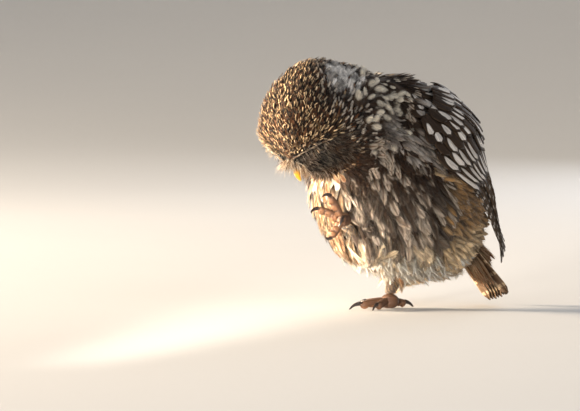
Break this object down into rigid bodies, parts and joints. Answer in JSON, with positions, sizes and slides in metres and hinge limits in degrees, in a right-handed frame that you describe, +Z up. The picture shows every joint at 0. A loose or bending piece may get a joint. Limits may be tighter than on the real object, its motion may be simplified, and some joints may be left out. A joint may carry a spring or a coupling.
{
  "type": "little owl",
  "caption": "Life-size little owl standing at rest, its head bowed low over a raised foot, wings folded and tail hanging behind.",
  "frame": {"origin": "on the floor under the middle of the standing foot", "axes": "+Z up, the owl faces -Y and its left side is +X"},
  "size_m": [0.1098, 0.1878, 0.1749],
  "materials": {
    "crown_feathers": "soft matt plumage, rust brown with small pale spots",
    "nape_feathers": "soft matt plumage, grey brown with pale blotches",
    "breast_feathers": "loose matt plumage, cream with brown streaks",
    "wing_feathers": "close matt plumage, dark brown with oval white spots",
    "tail_feathers": "close matt plumage, brown with buff bars",
    "leg_down": "short cream down",
    "toe_skin": "dry orange-brown skin with bristles above",
    "claw_horn": "smooth dark horn",
    "bill_horn": "smooth olive-yellow horn",
    "eye": "wet, yellow with a black pupil"
  },
  "bodies": {
    "root": {"torso": "breast_feathers", "neck": "nape_feathers", "head": "crown_feathers", "bill_upper": "bill_horn", "bill_lower": "bill_horn", "eye_left": "eye", "eye_right": "eye", "wing_left": "wing_feathers", "wing_right": "wing_feathers", "tail": "tail_feathers", "thigh_right": "leg_down", "shank_right": "leg_down", "foot_right": "toe_skin", "toe_right_middle": "toe_skin", "claw_right_middle": "claw_horn", "toe_right_inner": "toe_skin", "claw_right_inner": "claw_horn", "toe_right_outer": "toe_skin", "claw_right_outer": "claw_horn", "toe_right_hind": "toe_skin", "claw_right_hind": "claw_horn", "thigh_left": "leg_down", "shank_left": "leg_down", "foot_left": "toe_skin", "toe_left_middle": "toe_skin", "claw_left_middle": "claw_horn", "toe_left_inner": "toe_skin", "claw_left_inner": "claw_horn", "toe_left_outer": "toe_skin", "claw_left_outer": "claw_horn", "toe_left_hind": "toe_skin", "claw_left_hind": "claw_horn"}
  },
  "joints": []
}
